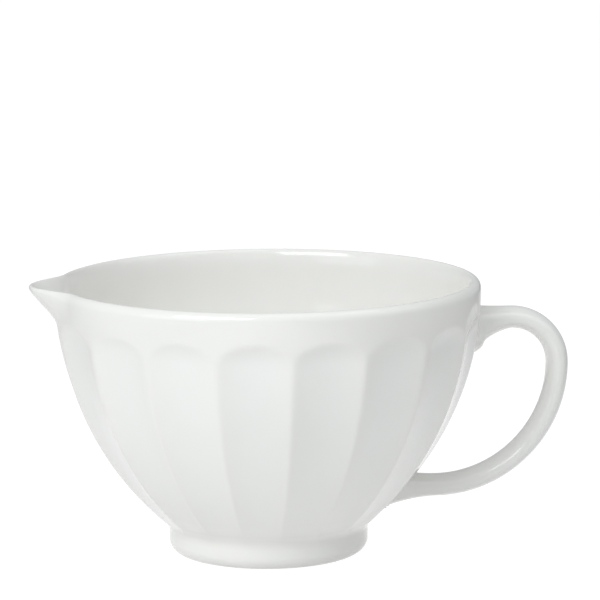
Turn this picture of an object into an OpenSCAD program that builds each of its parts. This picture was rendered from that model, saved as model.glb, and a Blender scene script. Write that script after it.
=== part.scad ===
// White glazed batter bowl: fluted bowl, pulled spout, foot ring and loop handle.
// Millimetres. Z is up, the table is z = 0, the spout points to -X, the handle to +X.

/* [Bowl] */
// height from the table to the top of the rim
bowl_h = 134; // [100:0.5:170]
// outside radius of the plain band at the rim
rim_r = 104; // [80:0.5:130]
// height of the straight part of that band, below the top of the rim
band_h = 5; // [5:0.5:12]
// outside radius that the curve of the wall comes down to at the height of the foot
toe_r = 44.3; // [36:0.1:57]
// thickness of the wall on a ridge between two flutes, and of the lip
wall_t = 6.2; // [5:0.1:9]
// thickness of the floor
floor_t = 7.7; // [5:0.1:12]
// radius of the curve from the inside floor up into the wall
floor_fillet = 30; // [15:1:40]

/* [Foot] */
// height of the foot, up to the hollow curve that leads into the wall
foot_h = 10.3; // [9:0.1:14]
// how far the foot stands out past the curve of the wall
foot_lip = 4.3; // [3:0.1:6]
// thickness of the foot, from its outside in to the hollow below the floor
foot_t = 14; // [12:0.5:20]
// rounding under the outside of the foot
foot_round = 6.4; // [3:0.1:8]
// rounding under the inside of the foot
hollow_round = 2; // [1:0.1:3]

/* [Flutes] */
// number of flutes round the bowl
flute_count = 18; // [12:2:20]
// width of the ridge between two flutes, below the rim band
ridge_w = 5; // [5:0.1:12]
// width of that ridge above the foot
toe_ridge_w = 4; // [4:0.1:8]
// distance from the bowl's axis to the axis that a flute is turned about
flute_axis_r = 200; // [190:1:260]
// distance below the top of the rim at which a flute starts to round off into its arch
arch_drop = 28; // [24:0.5:40]
// radius of that rounding, seen from the side
arch_r = 25; // [15:0.5:28]

/* [Spout] */
// how far the top of the lip is pulled out at the spout
spout_reach = 13.5; // [6:0.5:18]
// distance below the top of the rim at which the spout leaves the wall
spout_drop = 19.5; // [15:0.5:30]
// height over which it curves away from the wall, before it runs straight out to the lip
spout_curve_h = 7; // [3:0.5:12]
// half of the angle that the spout takes up on the rim
spout_half_angle = 19; // [10:1:22]

/* [Handle] */
// thickness of the strap, seen from the side
strap_t = 10.7; // [8:0.1:13]
// width of the strap, seen from the end
strap_w = 18; // [15:0.5:26]
// distance from the top of the rim down to the middle of the strap at its top
strap_drop = 21.6; // [15:0.1:30]
// how far out from the rim band the strap starts to bend down
strap_out = 16.3; // [10:0.1:25]
// height of the middle of the strap at its low end
strap_low_z = 29.6; // [24:0.1:40]
// how far out from the wall the strap's low end starts to bend up
lower_out = 18; // [12:0.1:25]
// how far the upper terminal spreads down the wall
upper_drop = 13; // [6:0.5:16]
// how much wider the upper terminal gets
upper_spread = 9; // [5:0.5:12]
// how far the lower terminal spreads up the wall
lower_rise = 5; // [2:0.5:8]
// how far the lower terminal spreads down the wall
lower_drop = 3; // [1:0.5:4]
// how much wider the lower terminal gets
lower_spread = 6; // [2:0.5:10]

/* [Hidden] */
$fn = 128;

// worked curves lap over each other by this much, so that they join cleanly
lap = 0.02;
// outside curve of the wall: one arc, upright where it reaches straight_z
straight_z = bowl_h - band_h;
wall_dz = straight_z - foot_h;
wall_dr = rim_r - toe_r;
bow_r = (wall_dz * wall_dz + wall_dr * wall_dr) / (2 * wall_dr);
bow_x = rim_r - bow_r;
band_r = rim_r - lap;
// inside curve of the wall, about the same centre
bore_bow_r = bow_r - wall_t;
bore_r = band_r - wall_t;
// centre of the curve at the edge of the floor, and the height where it meets the wall
floor_z = foot_h + floor_t;
heel_z = floor_z + floor_fillet;
heel_gap = bore_bow_r - floor_fillet + lap;
heel_x = bow_x + sqrt(heel_gap * heel_gap - (straight_z - heel_z) * (straight_z - heel_z));
heel_top_z = straight_z - (straight_z - heel_z) * bore_bow_r / heel_gap;
// the lip is a full round
lip_r = wall_t / 2;
lip_z = bowl_h - lip_r;

// foot
foot_r = toe_r + foot_lip;
hollow_r = foot_r - foot_t;

// depth of the flutes: as deep as the ridges between them leave room for
flute_pitch = 360 / flute_count;
flute_rim_w = rim_r * sin(flute_pitch / 2) - ridge_w / 2;
flute_toe_w = toe_r * sin(flute_pitch / 2) - toe_ridge_w / 2;
groove_rim_r = groove_r(rim_r, flute_rim_w);
groove_toe_r = groove_r(toe_r, flute_toe_w);
// curve down the middle of a flute, upright at the same height as the wall
groove_dr = groove_rim_r - groove_toe_r;
groove_bow_r = (wall_dz * wall_dz + groove_dr * groove_dr) / (2 * groove_dr);
groove_x = groove_rim_r - groove_bow_r;
flute_d = rim_r - groove_rim_r;
// the hollow curve above the foot: upright where it leaves the foot, it runs out in the flutes
toe_gap = foot_r - groove_x;
toe_curve_r = (toe_gap * toe_gap + wall_dz * wall_dz - groove_bow_r * groove_bow_r)
    / (2 * (groove_bow_r - toe_gap)) + lap;
toe_curve_x = foot_r + toe_curve_r;
toe_top_z = straight_z - wall_dz * groove_bow_r / (groove_bow_r + toe_curve_r);
// centre of the rounding at the top of a flute, and the height where it meets that curve
arch_z = bowl_h - arch_drop;
arch_gap = groove_bow_r + arch_r - lap;
arch_x = groove_x + sqrt(arch_gap * arch_gap - (straight_z - arch_z) * (straight_z - arch_z));
arch_join_z = straight_z - (straight_z - arch_z) * groove_bow_r / arch_gap;
// part of the pitch that one cutter may use
cutter_share = 0.985;
cutter_reach = 2 * rim_r;

// height at which the spout leaves the wall
spout_foot_z = bowl_h - spout_drop;

// the strap's section is an oval of four arcs: radius of its edges as a share of its thickness
edge_share = 0.36;
// the strap follows two quarter turns, which meet at bend_z: their radii follow from its ends,
// in whole steps, so that the two turns share one end face
turn_step = 0.05;
strap_top_z = bowl_h - strap_drop;
strap_top_x = rim_r + strap_out;
strap_rise = strap_top_z - strap_low_z;
strap_run = strap_top_x - lower_out - arc_r(bow_r, strap_low_z);
upper_bend_r = turn_step * round((strap_rise - strap_run) / 2 / turn_step);
lower_bend_r = strap_rise - upper_bend_r;
strap_low_x = strap_top_x + upper_bend_r - lower_bend_r;
bend_z = strap_top_z - upper_bend_r;
// number of steps in the worked surfaces
spout_steps = 32;
side_steps = 12;
lip_steps = 10;
oval_steps = 48;
flare_steps = 8;
// a flare grows as this power of the way along it
flare_power = 2.4;

// radius of a wall curve at a height; above straight_z it stands upright
function arc_r(curve_r, z) = bow_x + sqrt(curve_r * curve_r - pow(max(straight_z - z, 0), 2));

// radius of the middle of a flute of half width w, cut into a wall of radius r
function groove_r(r, w) = flute_axis_r - norm([flute_axis_r - sqrt(r * r - w * w), w]);

function bell(a) = abs(a) >= spout_half_angle ? 0 : pow(cos(90 * a / spout_half_angle), 2);
// how a line that curves out of the wall has run out at a height above the spout's foot
function run_out(h) =
    h < spout_curve_h ? pow(max(h, 0), 2) / (2 * spout_curve_h) : h - spout_curve_h / 2;
function pull(a, z) = spout_reach * bell(a) * run_out(z - spout_foot_z) / run_out(spout_drop);

// a point of the spout: angle from -X, radius before it is pulled out, height
function spout_point(a, r, z) =
    [-(r + pull(a, z)) * cos(a), -(r + pull(a, z)) * sin(a), z];

// one section of the spout: up the outside, over the lip and down the inside
function spout_section(a) = concat(
    [for (i = [0 : side_steps])
        let (z = spout_foot_z + (lip_z - spout_foot_z) * i / side_steps)
        spout_point(a, arc_r(bow_r, z), z)],
    [for (i = [1 : lip_steps - 1])
        let (t = 180 * i / lip_steps)
        spout_point(a, band_r - lip_r + lip_r * cos(t), lip_z + lip_r * sin(t))],
    [for (i = [side_steps : -1 : 0])
        let (z = spout_foot_z + (lip_z - spout_foot_z) * i / side_steps)
        spout_point(a, arc_r(bore_bow_r, z), z)]
);

// a point of the four-arc oval, found from the direction that its edge faces
function oval_point(t, wide, tall) =
    let (
        edge = edge_share * tall,
        side = wide / 2 - edge,
        step = tall / 2 - edge,
        back = (side * side - step * step) / (2 * step),
        turn = atan2(back, side),
        flat = abs(sin(t)) > sin(turn)
    )
    flat ? [(tall / 2 + back) * cos(t), (tall / 2 + back) * sin(t) - sign(sin(t)) * back]
         : [sign(cos(t)) * side + edge * cos(t), edge * sin(t)];

// one section of a terminal: an oval standing across the X axis
function terminal_section(x, low, high, wide) =
    [for (i = [0 : oval_steps - 1])
        let (p = oval_point(360 * i / oval_steps, wide, high - low))
        [x, p[0], (low + high) / 2 + p[1]]];

// faces of a skin over rings of the same size, open at both ends
function skin_faces(rings, size) =
    [for (j = [0 : rings - 2]) for (i = [0 : size - 1])
        let (a = j * size + i, b = j * size + (i + 1) % size)
        each [[a, a + size, b], [b, a + size, b + size]]];

module outer_half() {
    intersection() {
        translate([bow_x, straight_z])
            circle(r = bow_r);
        translate([0, foot_h])
            square([2 * rim_r, lip_z - foot_h]);
    }
    translate([0, straight_z])
        square([band_r, lip_z - straight_z]);
}

module bore_half() {
    intersection() {
        translate([bow_x, straight_z])
            circle(r = bore_bow_r);
        translate([0, heel_top_z])
            square([2 * rim_r, bowl_h - heel_top_z]);
    }
    translate([0, straight_z])
        square([bore_r, bowl_h - straight_z]);
    translate([0, floor_z])
        square([heel_x, floor_fillet]);
    translate([heel_x, heel_z])
        circle(r = floor_fillet);
}

module shell() {
    rotate_extrude() {
        difference() {
            outer_half();
            bore_half();
        }
        translate([band_r - lip_r, lip_z])
            circle(r = lip_r);
    }
}

// the profile that is turned about flute_axis_r to cut one flute
module flute_half() {
    difference() {
        translate([flute_axis_r - rim_r - flute_d, 0])
            square([rim_r, arch_join_z]);
        translate([flute_axis_r - groove_x, straight_z])
            circle(r = groove_bow_r);
    }
    intersection() {
        translate([flute_axis_r - arch_x, arch_z])
            circle(r = arch_r);
        translate([flute_axis_r - rim_r - flute_d, arch_z])
            square([arch_r, arch_r]);
    }
}

// one flute, facing +X
module flute() {
    intersection() {
        translate([flute_axis_r, 0, 0])
            rotate([0, 0, 180 - flute_pitch])
                rotate_extrude(angle = 2 * flute_pitch)
                    flute_half();
        linear_extrude(height = bowl_h)
            polygon([
                [0, 0],
                [cutter_reach, -cutter_reach * tan(cutter_share * flute_pitch / 2)],
                [cutter_reach, cutter_reach * tan(cutter_share * flute_pitch / 2)]
            ]);
    }
}

module notch() {
    translate([0, 0, spout_foot_z])
        linear_extrude(height = bowl_h)
            polygon([
                [-bore_r / 2, bore_r / 2 * tan(spout_half_angle)],
                [-cutter_reach, cutter_reach * tan(spout_half_angle)],
                [-cutter_reach, -cutter_reach * tan(spout_half_angle)],
                [-bore_r / 2, -bore_r / 2 * tan(spout_half_angle)]
            ]);
}

// the hollow curve from the wall down to the foot
module toe_curve() {
    rotate_extrude()
        difference() {
            translate([hollow_r, foot_h])
                square([toe_curve_x - hollow_r, toe_top_z - foot_h]);
            translate([toe_curve_x, foot_h])
                circle(r = toe_curve_r);
        }
}

module bowl_body() {
    color("white") {
        difference() {
            shell();
            for (i = [0 : flute_count - 1])
                rotate([0, 0, i * flute_pitch])
                    flute();
            notch();
        }
        toe_curve();
    }
}

module pour_spout() {
    size = 2 * side_steps + lip_steps + 1;
    last = spout_steps * size;
    points = [for (j = [0 : spout_steps])
        each spout_section(spout_half_angle * (2 * j / spout_steps - 1))];
    caps = [for (i = [0 : side_steps + lip_steps / 2 - 1])
        let (k = size - 1 - i, cap = [i, i + 1, k - 1, k])
        each [cap, [for (c = [3 : -1 : 0]) last + cap[c]]]];
    color("white")
        difference() {
            polyhedron(points, concat(skin_faces(spout_steps + 1, size), caps), convexity = 6);
            for (side = [-1 : 1])
                rotate([0, 0, 180 + side * flute_pitch])
                    flute();
        }
}

module foot_ring() {
    color("white")
        rotate_extrude() {
            difference() {
                translate([hollow_r, 0])
                    square([foot_r - hollow_r, foot_h]);
                translate([foot_r - foot_round, 0])
                    square([foot_round, foot_round]);
                translate([hollow_r, 0])
                    square([hollow_round, hollow_round]);
            }
            intersection() {
                translate([foot_r - foot_round, foot_round])
                    circle(r = foot_round);
                translate([foot_r - foot_round, 0])
                    square([foot_round, foot_round]);
            }
            intersection() {
                translate([hollow_r + hollow_round, hollow_round])
                    circle(r = hollow_round);
                translate([hollow_r, 0])
                    square([hollow_round, hollow_round]);
            }
        }
}

// the strap's section, thickness along X and width along Y
module strap_section() {
    edge = edge_share * strap_t;
    side = strap_w / 2 - edge;
    step = strap_t / 2 - edge;
    back = (side * side - step * step) / (2 * step);
    join = side + edge * side / norm([side, back]);
    intersection() {
        translate([-back, 0])
            circle(r = strap_t / 2 + back);
        translate([back, 0])
            circle(r = strap_t / 2 + back);
        square([strap_t, 2 * join], center = true);
    }
    for (end = [-1, 1])
        translate([0, end * side])
            circle(r = edge);
}

module bend(bend_r, from) {
    rotate([90, 0, 0])
        rotate([0, 0, from])
            rotate_extrude(angle = 90)
                translate([bend_r, 0])
                    strap_section();
}

module handle() {
    color("white") {
        translate([strap_top_x, 0, bend_z])
            bend(upper_bend_r, 0);
        translate([strap_low_x, 0, bend_z])
            bend(lower_bend_r, 270);
    }
}

// the outside of the bowl where the handle stands, without the inside
module handle_wall() {
    difference() {
        rotate_extrude()
            outer_half();
        for (side = [-1 : 1])
            rotate([0, 0, side * flute_pitch])
                flute();
    }
}

// a flared end of the handle, from the strap at from_x into the wall, which trims it
module terminal(from_x, strap_z, drop, rise, spread) {
    low_z = strap_z - strap_t / 2;
    high_z = strap_z + strap_t / 2;
    run = from_x - arc_r(bore_bow_r, low_z - drop);
    last = flare_steps * oval_steps;
    points = [for (j = [0 : flare_steps])
        let (t = j / flare_steps, grow = pow(t, flare_power))
        each terminal_section(
            from_x - run * t, low_z - drop * grow, high_z + rise * grow, strap_w + spread * grow
        )];
    faces = concat(
        skin_faces(flare_steps + 1, oval_steps),
        [[for (i = [0 : oval_steps - 1]) i]],
        [[for (i = [oval_steps - 1 : -1 : 0]) last + i]]
    );
    difference() {
        polyhedron(points, faces, convexity = 4);
        handle_wall();
    }
}

module upper_terminal() {
    color("white")
        terminal(strap_top_x, strap_top_z, upper_drop, 0, upper_spread);
}

module lower_terminal() {
    color("white")
        terminal(strap_low_x, strap_low_z, lower_drop, lower_rise, lower_spread);
}

bowl_body();
pour_spout();
foot_ring();
handle();
upper_terminal();
lower_terminal();
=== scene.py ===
# %% [markdown]
# # A white glazed batter bowl
#
# The object is one piece of fired ceramic: a fluted bowl on a low foot, with a lip pulled out
# into a spout on one side and a strap handle on the other. In this lesson its shape comes from
# three meshes: the bowl with its spout, the foot, and the handle with its two flared ends.
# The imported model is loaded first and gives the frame, so every piece is made in its place.

# %% Load the frame
from math import acos, atan2, cos, hypot, pi, radians, sin, sqrt

import bmesh
import bpy
from mathutils import Euler, Matrix, Vector


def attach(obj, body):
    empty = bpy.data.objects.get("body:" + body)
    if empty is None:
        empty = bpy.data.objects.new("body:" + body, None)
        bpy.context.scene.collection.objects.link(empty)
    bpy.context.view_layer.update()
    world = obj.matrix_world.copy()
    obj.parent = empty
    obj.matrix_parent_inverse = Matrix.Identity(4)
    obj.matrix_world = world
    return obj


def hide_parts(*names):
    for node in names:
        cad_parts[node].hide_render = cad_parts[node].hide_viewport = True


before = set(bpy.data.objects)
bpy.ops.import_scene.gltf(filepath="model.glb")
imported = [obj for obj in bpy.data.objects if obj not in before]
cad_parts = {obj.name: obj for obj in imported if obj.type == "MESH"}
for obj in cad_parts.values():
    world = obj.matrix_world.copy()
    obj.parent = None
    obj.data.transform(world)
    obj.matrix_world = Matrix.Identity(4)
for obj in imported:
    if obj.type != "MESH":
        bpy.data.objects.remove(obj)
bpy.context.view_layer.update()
scene = bpy.context.scene
mm = 0.001
print("nodes:", sorted(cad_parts))

# %% [markdown]
# ## The wall as a formula
#
# A bowl thrown on a wheel is a curve turned about an axis. Its outside is one long arc that
# stands upright at the rim, and the inside follows it a wall's thickness further in. All lengths
# here are in millimetres, as a potter would note them, and turn into metres when a mesh is made.
# The wall's sizes are the part's own, so the dressed bowl covers the solids. Only its flutes start
# a little lower and leave narrower ridges than those of the solids.

# %% Sizes of the wall
bowl_h, rim_r, band_h = 134.0, 104.0, 5.0
toe_r, wall_t, floor_t, floor_fillet = 44.3, 6.2, 7.7, 30.0
foot_h, foot_lip = 10.3, 4.3
foot_r = toe_r + foot_lip
straight_z = bowl_h - band_h
wall_dz, wall_dr = straight_z - foot_h, rim_r - toe_r
bow_r = (wall_dz ** 2 + wall_dr ** 2) / (2 * wall_dr)
bow_x = rim_r - bow_r
bore_bow_r = bow_r - wall_t
lip_out, lip_out_h = 3.4, 4.2
lip_in, lip_in_h = wall_t - lip_out, 9.5
lip_z, taper_z = bowl_h - lip_out_h, bowl_h - lip_in_h


def arc_r(curve_r, z):
    """Radius of a wall curve at a height; above straight_z it stands upright."""
    return bow_x + sqrt(curve_r ** 2 - max(straight_z - z, 0) ** 2)


print(f"wall: radius {rim_r} at the rim, {arc_r(bow_r, 60):.1f} at 60 high, {toe_r} at the foot")

# %% [markdown]
# ## Flutes, ridges and arches
#
# Eighteen shallow flutes run down the wall. Each is a hollow that a big round cutter would leave,
# and it ends in a low arch below the rim. Cutting them with booleans gives hard edges, but a
# glaze flows over every edge and rounds it. So the wall's radius is worked out at each point as
# the smaller of the plain wall and the flute, and the two are blended where they meet.

# %% The fluted wall
flute_count, flute_axis_r = 18, 200.0
ridge_w, toe_ridge_w = 1.6, 1.4
arch_drop, arch_r = 29.0, 25.0
ridge_soft, toe_soft = 0.8, 2.2
flute_pitch = 2 * pi / flute_count


def groove_r(r, half_w):
    """Radius of the middle of a flute of that half width, cut into a wall of radius r."""
    return flute_axis_r - hypot(flute_axis_r - sqrt(r * r - half_w * half_w), half_w)


groove_rim_r = groove_r(rim_r, rim_r * sin(flute_pitch / 2) - ridge_w / 2)
groove_toe_r = groove_r(toe_r, toe_r * sin(flute_pitch / 2) - toe_ridge_w / 2)
groove_dr = groove_rim_r - groove_toe_r
groove_bow_r = (wall_dz ** 2 + groove_dr ** 2) / (2 * groove_dr)
groove_x = groove_rim_r - groove_bow_r
arch_z = bowl_h - arch_drop
arch_gap = groove_bow_r + arch_r
arch_x = groove_x + sqrt(arch_gap ** 2 - (straight_z - arch_z) ** 2)
arch_join_z = straight_z - (straight_z - arch_z) * groove_bow_r / arch_gap
toe_gap = foot_r - groove_x
toe_curve_r = (toe_gap ** 2 + wall_dz ** 2 - groove_bow_r ** 2) / (2 * (groove_bow_r - toe_gap))
toe_curve_x = foot_r + toe_curve_r


def soft_min(a, b, soft):
    """The smaller of two lengths, rounded off where they are nearly equal."""
    near = max(soft - abs(a - b), 0) / soft
    return min(a, b) - near * near * soft / 4


def flute_r(angle, z):
    """Radius of the nearest flute's hollow at an angle and a height."""
    turn = angle / flute_pitch
    off = (turn - (turn + 0.5) // 1) * flute_pitch
    if z <= arch_join_z:
        middle = groove_x + sqrt(groove_bow_r ** 2 - (straight_z - z) ** 2)
    else:
        middle = arch_x - sqrt(max(arch_r ** 2 - (z - arch_z) ** 2, 0))
    cutter = flute_axis_r - middle
    return flute_axis_r * cos(off) - sqrt(max(cutter ** 2 - (flute_axis_r * sin(off)) ** 2, 0))


def outside_r(angle, z):
    """Radius of the glazed outside, without the spout."""
    r = arc_r(bow_r, z)
    if z < arch_z + arch_r:
        r = soft_min(r, flute_r(angle, z), ridge_soft)
    toe = toe_curve_r ** 2 - (z - foot_h) ** 2
    if z >= foot_h and toe > 0:
        r = -soft_min(-r, sqrt(toe) - toe_curve_x, toe_soft)
    return r


print(f"flutes: {flute_count}, {rim_r - groove_rim_r:.1f} deep below the rim")

# %% [markdown]
# ## The spout
#
# The potter pulls a short piece of the soft rim outwards with a finger. The wall below follows:
# it curves away and then runs straight out to the lip, which stays level. One formula moves every
# point of the wall near the spout outwards, most in the middle and nothing at its sides. Inside,
# the finger also smears the lip into a wide throat. There the slope below the lip reaches further
# down, and is flatter, the nearer it is to the spout.

# %% How far the rim is pulled out
spout_reach, spout_half_angle = 13.5, radians(19)
spout_drop, spout_curve_h = 19.5, 7.0
spout_foot_z = bowl_h - spout_drop
throat_drop, throat_half_angle = 26.0, radians(56)
lip_bulge, throat_flatter = 2, 0.6


def smooth(t):
    t = min(max(t, 0.0), 1.0)
    return t * t * (3 - 2 * t)


def from_spout(angle):
    return pi - abs(angle)


def run_out(h):
    """How far a line has run out that curves away from the wall and then goes on straight."""
    return max(h, 0) ** 2 / (2 * spout_curve_h) if h < spout_curve_h else h - spout_curve_h / 2


def pull(angle, z):
    """How far a point is pulled out; the spout is at an angle of half a turn."""
    across = cos(pi / 2 * min(from_spout(angle) / spout_half_angle, 1)) ** 2
    return spout_reach * across * run_out(z - spout_foot_z) / run_out(spout_drop)


def inside_r(angle, z):
    """Radius of the inside up to the lip's crest, without the pull of the spout."""
    near = max(1 - (from_spout(angle) / throat_half_angle) ** 2, 0) ** 2
    slope_h = lip_in_h + (throat_drop - lip_in_h) * near
    bulge = lip_bulge - throat_flatter * near
    share = min(max(1 - (bowl_h - z) / slope_h, 0), 1)
    return arc_r(bore_bow_r, z) + lip_in * (1 - (1 - share ** bulge) ** (1 / bulge))


print(f"spout: {pull(pi, bowl_h):.1f} out at the lip")

# %% [markdown]
# ## A helper that finishes a mesh
#
# Each piece is built in a bmesh and then becomes an object. Doubled points are merged and the
# faces are turned outwards before that, and the points go from millimetres to metres. Only the
# edges that are truly sharp stay sharp.

# %% From bmesh to a piece
doubled_gap, seam_gap = 0.0005, 0.001
pieces = []


def make_piece(bm, name, sharp_angle=radians(50)):
    bmesh.ops.remove_doubles(bm, verts=bm.verts, dist=doubled_gap)
    bmesh.ops.recalc_face_normals(bm, faces=bm.faces)
    bmesh.ops.scale(bm, vec=(mm, mm, mm), verts=bm.verts)
    mesh = bpy.data.meshes.new(name)
    bm.to_mesh(mesh)
    bm.free()
    mesh.shade_smooth()
    mesh.set_sharp_from_angle(angle=sharp_angle)
    piece = bpy.data.objects.new(name, mesh)
    scene.collection.objects.link(piece)
    pieces.append(piece)
    print(f"{name}: {len(mesh.vertices)} points, {len(mesh.polygons)} faces")
    return piece


def add_profile(bm, points):
    """A chain of edges in the XZ plane through (radius, height) points."""
    verts = [bm.verts.new((r, 0, z)) for r, z in points]
    return verts + [bm.edges.new(pair) for pair in zip(verts, verts[1:])]


def turn_profile(bm, points, steps):
    """Spins a profile a quarter turn round the Z axis and mirrors that twice to a full turn."""
    bmesh.ops.spin(bm, geom=add_profile(bm, points), cent=(0, 0, 0), axis=(0, 0, 1),
                   dvec=(0, 0, 0), angle=pi / 2, steps=steps // 4, use_merge=False,
                   use_duplicate=False)
    for axis in ("X", "Y"):
        bmesh.ops.mirror(bm, geom=bm.verts[:] + bm.edges[:] + bm.faces[:], matrix=Matrix(),
                         merge_dist=seam_gap, axis=axis)


# %% [markdown]
# ## The bowl
#
# The bowl's section is drawn once, from the middle of its underside, up the outside, over the
# round lip and down the inside to the middle of the floor. Spin turns it into a closed skin, and
# then each point of the outside moves to the fluted radius and each point near the spout is
# pulled out. More rows lie where the flutes end, because the arches need them.

# %% The bowl's section
floor_z = foot_h + floor_t
heel_z = floor_z + floor_fillet
heel_gap = bore_bow_r - floor_fillet
heel_x = bow_x + sqrt(heel_gap ** 2 - (straight_z - heel_z) ** 2)
heel_turn = acos((straight_z - heel_z) / heel_gap)


def steps_between(low, high, count):
    return [low + (high - low) * i / count for i in range(count)]


toe_end_z, arch_low_z, arch_high_z, throat_end_z = 18, 96, 124, 106
toe_rows, wall_rows, arch_rows, band_rows = 10, 26, 26, 6
lip_out_rows, lip_in_rows, throat_rows, bore_rows, heel_rows, flat_rows = 10, 14, 14, 22, 14, 8
outside_z = (steps_between(foot_h, toe_end_z, toe_rows)
             + steps_between(toe_end_z, arch_low_z, wall_rows)
             + steps_between(arch_low_z, arch_high_z, arch_rows)
             + steps_between(arch_high_z, lip_z, band_rows))
under = [(r, foot_h) for r in steps_between(0, foot_r, flat_rows)]
outside = [(max(outside_r(0, z), arc_r(bow_r, z)), z) for z in outside_z]
lip = [(rim_r - lip_out + lip_out * cos(t), lip_z + lip_out_h * sin(t))
       for t in steps_between(0, pi / 2, lip_out_rows)]
lip += [(rim_r - lip_out - lip_in * sin(t), taper_z + lip_in_h * cos(t))
        for t in steps_between(0, pi / 2, lip_in_rows)]
heel_top_z = straight_z - bore_bow_r * cos(heel_turn)
inside_z = (steps_between(taper_z, throat_end_z, throat_rows)
            + steps_between(throat_end_z, heel_top_z, bore_rows))
inside = [(arc_r(bore_bow_r, z), z) for z in inside_z]
heel = [(heel_x + floor_fillet * sin(t), heel_z - floor_fillet * cos(t))
        for t in steps_between(heel_turn, 0, heel_rows)]
floor = [(r, floor_z) for r in steps_between(heel_x, 0, flat_rows)] + [(0, floor_z)]

# %% Turn the bowl, flute it and pull the spout
around, wall_slack, toe_slack = 504, 1, 5
even_depth = 0.5
bm = bmesh.new()
turn_profile(bm, under + outside + lip + inside + heel + floor, around)
glaze_depth = bm.verts.layers.float.new("glaze_depth")
for v in bm.verts:
    r, angle, z = hypot(v.co.x, v.co.y), atan2(v.co.y, v.co.x), v.co.z
    wall_r = arc_r(bow_r, z)
    middle_r = wall_r - (lip_out if z >= lip_z else wall_t / 2)
    v[glaze_depth] = even_depth
    if r < middle_r and z > bowl_h - throat_drop:
        r = inside_r(angle, z)
    elif foot_h <= z < lip_z and r > max(middle_r - wall_slack, foot_r - toe_slack):
        r = outside_r(angle, z)
        v[glaze_depth] = min(max((wall_r - r) / (rim_r - groove_rim_r), 0), 1)
    if z >= lip_z:
        v[glaze_depth] = even_depth * (bowl_h - z) / lip_out_h
    if z > spout_foot_z:
        r += pull(angle, z)
    v.co = (r * cos(angle), r * sin(angle), z)
glazed_bowl = make_piece(bm, "glazed_bowl")

# %% [markdown]
# ## The foot
#
# The bowl stands on a turned foot whose outer edge is well rounded. Only a narrow ring touches
# the table, and the floor above it is hollowed so that the bowl doesn't rock. It is a closed
# section, spun like the bowl.

# %% The foot's section
foot_t, foot_round, hollow_round = 14.0, 6.4, 2.0
straight_rows, edge_rows, hollow_rows, foot_around = 4, 14, 6, 240
hollow_r = foot_r - foot_t
stand_r, bare_r = foot_r - foot_round, hollow_r + hollow_round
foot_side = [(foot_r, z) for z in steps_between(foot_h, foot_round, straight_rows)]
foot_edge = [(stand_r + foot_round * cos(t), foot_round - foot_round * sin(t))
             for t in steps_between(0, pi / 2, edge_rows)]
stand = [(r, 0) for r in steps_between(stand_r, bare_r, straight_rows)]
hollow_edge = [(bare_r - hollow_round * sin(t), hollow_round - hollow_round * cos(t))
               for t in steps_between(0, pi / 2, hollow_rows)]
hollow_side = [(hollow_r, z) for z in steps_between(hollow_round, foot_h, straight_rows)]
top = [(r, foot_h) for r in steps_between(hollow_r, foot_r, straight_rows)] + [(foot_r, foot_h)]
bm = bmesh.new()
turn_profile(bm, foot_side + foot_edge + stand + hollow_edge + hollow_side + top, foot_around)
turned_foot = make_piece(bm, "turned_foot")

# %% [markdown]
# ## The handle
#
# The handle is a strap of clay with an oval section, bent in two sweeps: a tight one at the top
# and a wide one below. An oval ring is spun through each of them. At both ends the potter presses
# the strap onto the wall, where it spreads out. There the ring is extruded step by step, and each
# new ring is a larger oval that lies closer to the wall, until the last one is on it.

# %% The strap
strap_t, strap_w, edge_share = 10.7, 18.0, 0.36
strap_top_x, strap_top_z = rim_r + 16.3, bowl_h - 21.6
upper_bend_r, lower_bend_r = 23.05, 59.75
bend_z = strap_top_z - upper_bend_r
strap_low_x, strap_low_z = strap_top_x + upper_bend_r - lower_bend_r, bend_z - lower_bend_r
ring_points, upper_steps, lower_steps = 72, 28, 48


def oval_point(t, wide, tall):
    """A point of a four-arc oval, found from the direction that its edge faces."""
    edge = edge_share * tall
    side, step = wide / 2 - edge, tall / 2 - edge
    back = (side * side - step * step) / (2 * step)
    if abs(sin(t)) > sin(atan2(back, side)):
        flat_r = tall / 2 + back
        return flat_r * cos(t), flat_r * sin(t) - (back if sin(t) > 0 else -back)
    return (side if cos(t) > 0 else -side) + edge * cos(t), edge * sin(t)


bm = bmesh.new()
ring_turn = bm.verts.layers.float.new("ring_turn")


def strap_ring(bm):
    """An oval ring across the strap where its two bends meet; outwards is up at the top."""
    ring = bmesh.ops.create_circle(bm, segments=ring_points, radius=1)["verts"]
    for i, v in enumerate(ring):
        t = 2 * pi * i / ring_points
        across, out = oval_point(t, strap_w, strap_t)
        v.co = (strap_top_x + upper_bend_r + out, across, bend_z)
        v[ring_turn] = t
    return list({e for v in ring for e in v.link_edges})


def bend(bm, x, angle, steps):
    """Spins a strap ring about (x, bend_z) and returns the last ring's edges."""
    spun = bmesh.ops.spin(bm, geom=strap_ring(bm), cent=(x, 0, bend_z), axis=(0, -1, 0),
                          dvec=(0, 0, 0), angle=angle, steps=steps, use_merge=False,
                          use_duplicate=False)
    return [e for e in spun["geom_last"] if isinstance(e, bmesh.types.BMEdge)]


upper_end = bend(bm, strap_top_x, pi / 2, upper_steps)
lower_end = bend(bm, strap_low_x, -pi / 2, lower_steps)
print("strap ends:", [len(e) for e in (upper_end, lower_end)])

# %% Where the wall is, seen along X
sunk, wall_tries = 0.3, 6


def wall_x(y, z):
    """X just below the skin of the fluted wall, at a place across the handle's side and a height.

    The flute depends on the angle and so on X, which each try brings closer.
    """
    x = arc_r(bow_r, z)
    for _ in range(wall_tries):
        r = outside_r(atan2(y, x), z)
        x = sqrt(max(r * r - y * y, 1))
    return x - sunk


# %% The flared ends
flare_steps = 24
lobe_bend, lobe_lag = 0.575, 0.8
lobe_gap_power, lobe_grow_power = 1.25, 0.85


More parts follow.
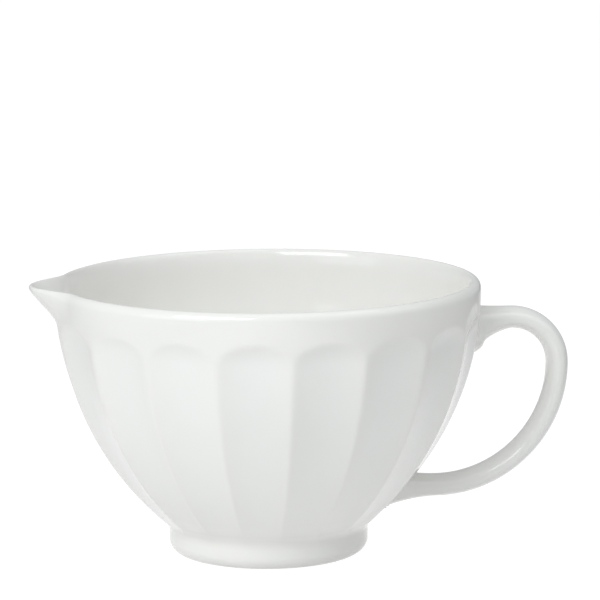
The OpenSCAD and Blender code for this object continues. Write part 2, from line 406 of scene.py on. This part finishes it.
def press_on(bm, edges, x0, z0, facing, rise, drop, spread, lobe=0.0):
    """Extrudes a strap end onto the wall and returns the last ring's edges.

    facing is 1 where the strap's outer face looks up, and -1 where it looks down. rise, drop and
    spread say how far the end grows up, down and to each side, in a hollow curve. With
    a lobe, the lower side bends until that share of the gap is left and then runs out in an S.
    """
    for step in range(1, flare_steps + 1):
        u = step / flare_steps
        grown = bmesh.ops.extrude_edge_only(bm, edges=edges)["geom"]
        edges = [e for e in grown if isinstance(e, bmesh.types.BMEdge)
                 and all(v in grown for v in e.verts)]
        plain_gap, plain_grow = 1 - sin(pi / 2 * u), 1 - cos(pi / 2 * u)
        if u < 0.5:
            lobe_gap = 1 - (1 - lobe) * sin(pi * u) ** lobe_gap_power
            lobe_grow = lobe_bend * (1 - cos(pi * u)) ** lobe_grow_power
        else:
            run = 2 * u - 1
            lobe_gap = lobe * (1 - smooth(run ** lobe_lag))
            lobe_grow = lobe_bend + (1 - lobe_bend) * run
        for v in (g for g in grown if isinstance(g, bmesh.types.BMVert)):
            across, out = oval_point(v[ring_turn], strap_w, strap_t)
            up = out * facing
            low = smooth(-2 * up / strap_t) if lobe else 0.0
            gap = plain_gap + (lobe_gap - plain_gap) * low
            grow = plain_grow + (lobe_grow - plain_grow) * low
            y = across * (1 + spread * grow / (strap_w / 2))
            z = z0 + up * (1 + (rise if up > 0 else drop) * grow / (strap_t / 2))
            wall = wall_x(y, z)
            v.co = (wall + (x0 - wall) * gap, y, z)
    return edges


upper_rim = press_on(bm, upper_end, strap_top_x, strap_top_z, 1,
                     rise=0.8, drop=16.5, spread=7.0, lobe=0.33)
lower_rim = press_on(bm, lower_end, strap_low_x, strap_low_z, -1,
                     rise=2.5, drop=8.5, spread=3.0)
for rim in (upper_rim, lower_rim):
    bmesh.ops.contextual_create(bm, geom=rim)
strap_handle = make_piece(bm, "strap_handle", sharp_angle=radians(70))

# %% [markdown]
# ## The glaze
#
# A white glaze is a thin coat of glass over a pale body. It runs off ridges and rims while it
# melts, and gathers in hollows, so the colour is a touch warmer where it is thin and cooler where
# it is thick. The bowl carries that depth as an attribute on its points. Faint, wide clouds and a
# very fine ripple keep the surface from looking like plastic. The ring that stands on the table
# is wiped clean before firing, so it is matt and shows the bare body.

# %% Node helpers
def new_material(name):
    material = bpy.data.materials.new(name)
    material.use_nodes = True
    return material, material.node_tree.nodes, material.node_tree.links


def feed(links, socket, value):
    """Links an output to a socket, or sets the socket to a plain value."""
    if isinstance(value, bpy.types.NodeSocket):
        links.new(value, socket)
    else:
        socket.default_value = value


def mix_colours(nodes, links, factor, first, second, blend="MIX"):
    """A Mix node for colours; its colour sockets are inputs 6 and 7 and output 2."""
    mix = nodes.new("ShaderNodeMix")
    mix.data_type, mix.blend_type = "RGBA", blend
    for index, value in ((0, factor), (6, first), (7, second)):
        feed(links, mix.inputs[index], value)
    return mix.outputs[2]


def map_range(nodes, links, value, from_low, from_high, to_low, to_high):
    node = nodes.new("ShaderNodeMapRange")
    links.new(value, node.inputs["Value"])
    for name, number in (("From Min", from_low), ("From Max", from_high),
                         ("To Min", to_low), ("To Max", to_high)):
        node.inputs[name].default_value = number
    return node.outputs["Result"]


def noise(nodes, links, place, scale, detail=2.0):
    node = nodes.new("ShaderNodeTexNoise")
    node.inputs["Scale"].default_value, node.inputs["Detail"].default_value = scale, detail
    links.new(place, node.inputs["Vector"])
    return node.outputs["Fac"]


# %% White glaze
thin_glaze, thick_glaze = (0.920, 0.905, 0.875, 1), (0.920, 0.912, 0.890, 1)
cloud, bare_body = (0.985, 0.985, 0.98, 1), (0.80, 0.77, 0.71, 1)
cloud_scale, gloss_scale, ripple_scale = 22, 60, 90
smoothest, roughest, bare_rough = 0.05, 0.09, 0.8
bare_z, glazed_z = 0.1 * mm, 0.5 * mm
ripple_strength, ripple_h = 0.12, 0.2 * mm
glaze, nodes, links = new_material("white_glaze")
shader = nodes["Principled BSDF"]
shader.inputs["IOR"].default_value = 1.5
place = nodes.new("ShaderNodeTexCoord").outputs["Object"]
depth = nodes.new("ShaderNodeAttribute")
depth.attribute_name = "glaze_depth"
colour = mix_colours(nodes, links, depth.outputs["Fac"], thin_glaze, thick_glaze)
clouds = map_range(nodes, links, noise(nodes, links, place, cloud_scale), 0.35, 0.65, 0, 1)
colour = mix_colours(nodes, links, clouds, colour,
                     mix_colours(nodes, links, 1.0, colour, cloud, "MULTIPLY"))
height = nodes.new("ShaderNodeSeparateXYZ")
links.new(place, height.inputs["Vector"])
bare = map_range(nodes, links, height.outputs["Z"], bare_z, glazed_z, 1, 0)
links.new(mix_colours(nodes, links, bare, colour, bare_body), shader.inputs["Base Color"])
gloss = map_range(nodes, links, noise(nodes, links, place, gloss_scale), 0.3, 0.7,
                  smoothest, roughest)
rough = nodes.new("ShaderNodeMath")
rough.operation = "MAXIMUM"
links.new(gloss, rough.inputs[0])
links.new(map_range(nodes, links, bare, 0, 1, 0, bare_rough), rough.inputs[1])
links.new(rough.outputs["Value"], shader.inputs["Roughness"])
ripple = nodes.new("ShaderNodeBump")
ripple.inputs["Strength"].default_value = ripple_strength
ripple.inputs["Distance"].default_value = ripple_h
links.new(noise(nodes, links, place, ripple_scale, 1.0), ripple.inputs["Height"])
links.new(ripple.outputs["Normal"], shader.inputs["Normal"])
for piece in pieces:
    piece.data.materials.append(glaze)
    if "glaze_depth" not in piece.data.attributes:
        even = piece.data.attributes.new("glaze_depth", "FLOAT", "POINT")
        even.data.foreach_set("value", [even_depth] * len(even.data))
print("glazed:", [piece.name for piece in pieces])

# %% Tie the pieces to the frame
stands_for = {glazed_bowl: ("bowl_body", "pour_spout"), turned_foot: ("foot_ring",),
              strap_handle: ("handle", "upper_terminal", "lower_terminal")}
for piece, solids in stands_for.items():
    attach(piece, "root")
    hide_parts(*solids)
print("tied:", {piece.name: solids for piece, solids in stands_for.items()})

# %% [markdown]
# ## Floor and surroundings
#
# The bowl is shown on white. The floor is a plain pale disc whose material adds a glow for the
# camera and for reflections only, so that it turns white without lighting the bowl, while the
# shadow under the foot still shows. Photographers keep the white paper behind white ware narrow,
# because the dim room on both sides of it is what draws a thin grey edge round the ware. So
# reflections see white paper as wide as the picture, and less of it further out. The world is the
# room: dim and a little cool as a light, and grey in reflections.

# %% Floor and world
def math_node(nodes, links, operation, first, second):
    node = nodes.new("ShaderNodeMath")
    node.operation = operation
    for socket, value in zip(node.inputs, (first, second)):
        feed(links, socket, value)
    return node.outputs["Value"]


def seen_rays(nodes, links):
    """Two outputs: 1 for rays from the camera, and 1 for rays that a reflection or glass sends."""
    path = nodes.new("ShaderNodeLightPath").outputs
    return path["Is Camera Ray"], math_node(nodes, links, "MAXIMUM", path["Is Glossy Ray"],
                                            path["Is Transmission Ray"])


walk = radians(-6.6)
floor_r, floor_points, floor_grey, floor_rough = 9.0, 96, (0.9, 0.9, 0.9, 1), 0.9
floor_glow, paper_w, room_w, paper_white, paper_side = 0.85, 0.3, 0.9, 1.13, 0.25
bm = bmesh.new()
bmesh.ops.create_circle(bm, cap_ends=True, segments=floor_points, radius=floor_r)
floor_mesh = bpy.data.meshes.new("pale_floor")
bm.to_mesh(floor_mesh)
bm.free()
pale_floor = bpy.data.objects.new("pale_floor", floor_mesh)
scene.collection.objects.link(pale_floor)
floor_paint, nodes, links = new_material("pale_floor")
paint = nodes["Principled BSDF"]
paint.inputs["Base Color"].default_value = floor_grey
paint.inputs["Roughness"].default_value = floor_rough
paint.inputs["Specular IOR Level"].default_value = 0.0
sideways = nodes.new("ShaderNodeVectorMath")
sideways.operation = "DOT_PRODUCT"
sideways.inputs[1].default_value = (cos(walk), sin(walk), 0)
links.new(nodes.new("ShaderNodeTexCoord").outputs["Object"], sideways.inputs[0])
off_middle = math_node(nodes, links, "ABSOLUTE", sideways.outputs["Value"], 0.0)
paper = map_range(nodes, links, off_middle, paper_w / 2, room_w / 2, paper_white, paper_side)
camera_ray, other_ray = seen_rays(nodes, links)
white, either = nodes.new("ShaderNodeEmission"), nodes.new("ShaderNodeMixShader")
links.new(math_node(nodes, links, "MAXIMUM", paper,
                    math_node(nodes, links, "MULTIPLY", camera_ray, paper_white)),
          white.inputs["Strength"])
links.new(math_node(nodes, links, "MULTIPLY", floor_glow,
                    math_node(nodes, links, "MAXIMUM", camera_ray, other_ray)), either.inputs[0])
links.new(paint.outputs[0], either.inputs[1])
links.new(white.outputs[0], either.inputs[2])
links.new(either.outputs[0], nodes["Material Output"].inputs["Surface"])
floor_mesh.materials.append(floor_paint)

world_light, world_strength, world_grey = (0.955, 0.985, 1.0, 1), 0.37, 0.5
world = bpy.data.worlds.new("white_studio")
scene.world = world
world.use_nodes = True
nodes, links = world.node_tree.nodes, world.node_tree.links
sky = nodes["Background"]
camera_ray, other_ray = seen_rays(nodes, links)
links.new(mix_colours(nodes, links, camera_ray, world_light, (1, 1, 1, 1)), sky.inputs["Color"])
strength = map_range(nodes, links, other_ray, 0, 1, world_strength, world_grey)
links.new(math_node(nodes, links, "MAXIMUM", strength, camera_ray), sky.inputs["Strength"])
print("floor and world set")

# %% [markdown]
# ## Light
#
# White ware on white needs light that comes mostly from one side, or its shape is lost. A soft
# box stands in front of the bowl on the left, so the left sides of the ridges are bright and the
# right ones grey. It is small enough to show as a streak on the lip and on the handle. A lower one
# further left reaches the foot under the overhang. A wide box on the right and a weak one above
# open the shadows on the handle and in the bowl. Each is placed by how far it stands round to the
# left of straight ahead, how high, and how far off.

# %% Soft boxes
aim, cool_white = Vector((0, 0, 80 * mm)), (0.96, 0.99, 1.0)


def soft_box(name, left, up, away, size, watts):
    lamp = bpy.data.lights.new(name, "AREA")
    lamp.shape, lamp.size, lamp.size_y = "RECTANGLE", size[0], size[1]
    lamp.energy, lamp.color = watts, cool_white
    box = bpy.data.objects.new(name, lamp)
    left, up = radians(left), radians(up)
    towards = Vector((-sin(left) * cos(up), -cos(left) * cos(up), sin(up)))
    box.location = aim + towards * away
    box.rotation_euler = (-towards).to_track_quat("-Z", "Y").to_euler()
    scene.collection.objects.link(box)
    print(f"{name}: {watts} W at {[round(c, 2) for c in box.location]}")


soft_box("key_box", 38, 38, 1.8, (1.2, 0.7), 13.4)
soft_box("side_box", 56, 17, 1.6, (1.1, 0.8), 2.9)
soft_box("right_box", -70, 46, 1.8, (1.4, 1.4), 4.0)
soft_box("top_box", -45, 72, 1.4, (1.1, 1.1), 3.0)

# %% [markdown]
# ## Camera
#
# The photograph was taken from a little under two metres, with a long lens, about nine degrees
# down. The bowl is turned so that the spout points slightly towards the viewer, and the camera
# walks round it instead, because the pieces stay in the frame.

# %% Camera
image_px, focal_px, sensor_w = 600, 3646.9, 36.0
reach, eye_h = 1750 * mm, 409.0 * mm
glance, look_down, tilt = -0.00917, radians(9.261), -0.006
view = bpy.data.cameras.new("camera")
view.sensor_width, view.lens = sensor_w, sensor_w * focal_px / image_px
camera = bpy.data.objects.new("camera", view)
turn = Euler((pi / 2 - look_down, 0, walk + glance)).to_matrix().to_4x4()
camera.matrix_world = (Matrix.Translation((sin(walk) * reach, -cos(walk) * reach, eye_h))
                       @ turn @ Matrix.Rotation(tilt, 4, "Z"))
scene.collection.objects.link(camera)
scene.camera = camera
scene.view_settings.view_transform = "Standard"
print(f"lens {view.lens:.1f} mm, {reach:.2f} m away")
